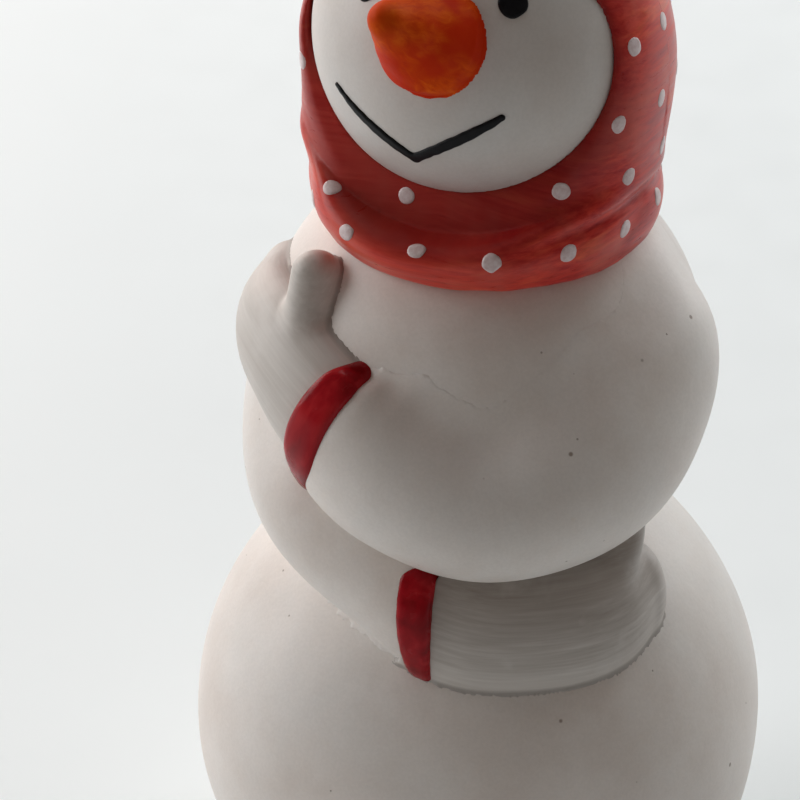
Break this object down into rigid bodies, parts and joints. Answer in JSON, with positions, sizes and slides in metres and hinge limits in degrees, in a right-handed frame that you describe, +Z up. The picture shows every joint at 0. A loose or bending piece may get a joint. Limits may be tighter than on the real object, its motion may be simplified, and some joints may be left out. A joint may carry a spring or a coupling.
{
  "type": "snowman figure",
  "caption": "Small painted ceramic snowman hugging itself in mittens, with a dotted kerchief on its head and a carrot nose.",
  "frame": {"origin": "centre of the flat foot, on the surface that the figure stands on", "axes": "+Z up along the figure; -Y is where the face looks; +X is the figure's own left"},
  "size_m": [0.0632, 0.0632, 0.1302],
  "materials": {
    "white_glaze": "satin",
    "grey_wash": "satin, brushed",
    "red_wash": "gloss",
    "deep_red": "gloss",
    "orange_wash": "gloss",
    "black_enamel": "gloss",
    "pale_enamel": "gloss"
  },
  "bodies": {
    "root": {"lower_ball": "white_glaze", "torso_ball": "white_glaze", "head_ball": "white_glaze", "left_arm": "white_glaze", "right_arm": "white_glaze", "hood": "red_wash", "neck_wrap": "red_wash", "left_cuff": "deep_red", "right_cuff": "deep_red", "left_mitten": "grey_wash", "right_mitten": "grey_wash", "carrot_nose": "orange_wash", "left_eye": "black_enamel", "right_eye": "black_enamel", "smile": "black_enamel", "kerchief_dots": "pale_enamel", "eye_glints": "pale_enamel"}
  },
  "joints": []
}
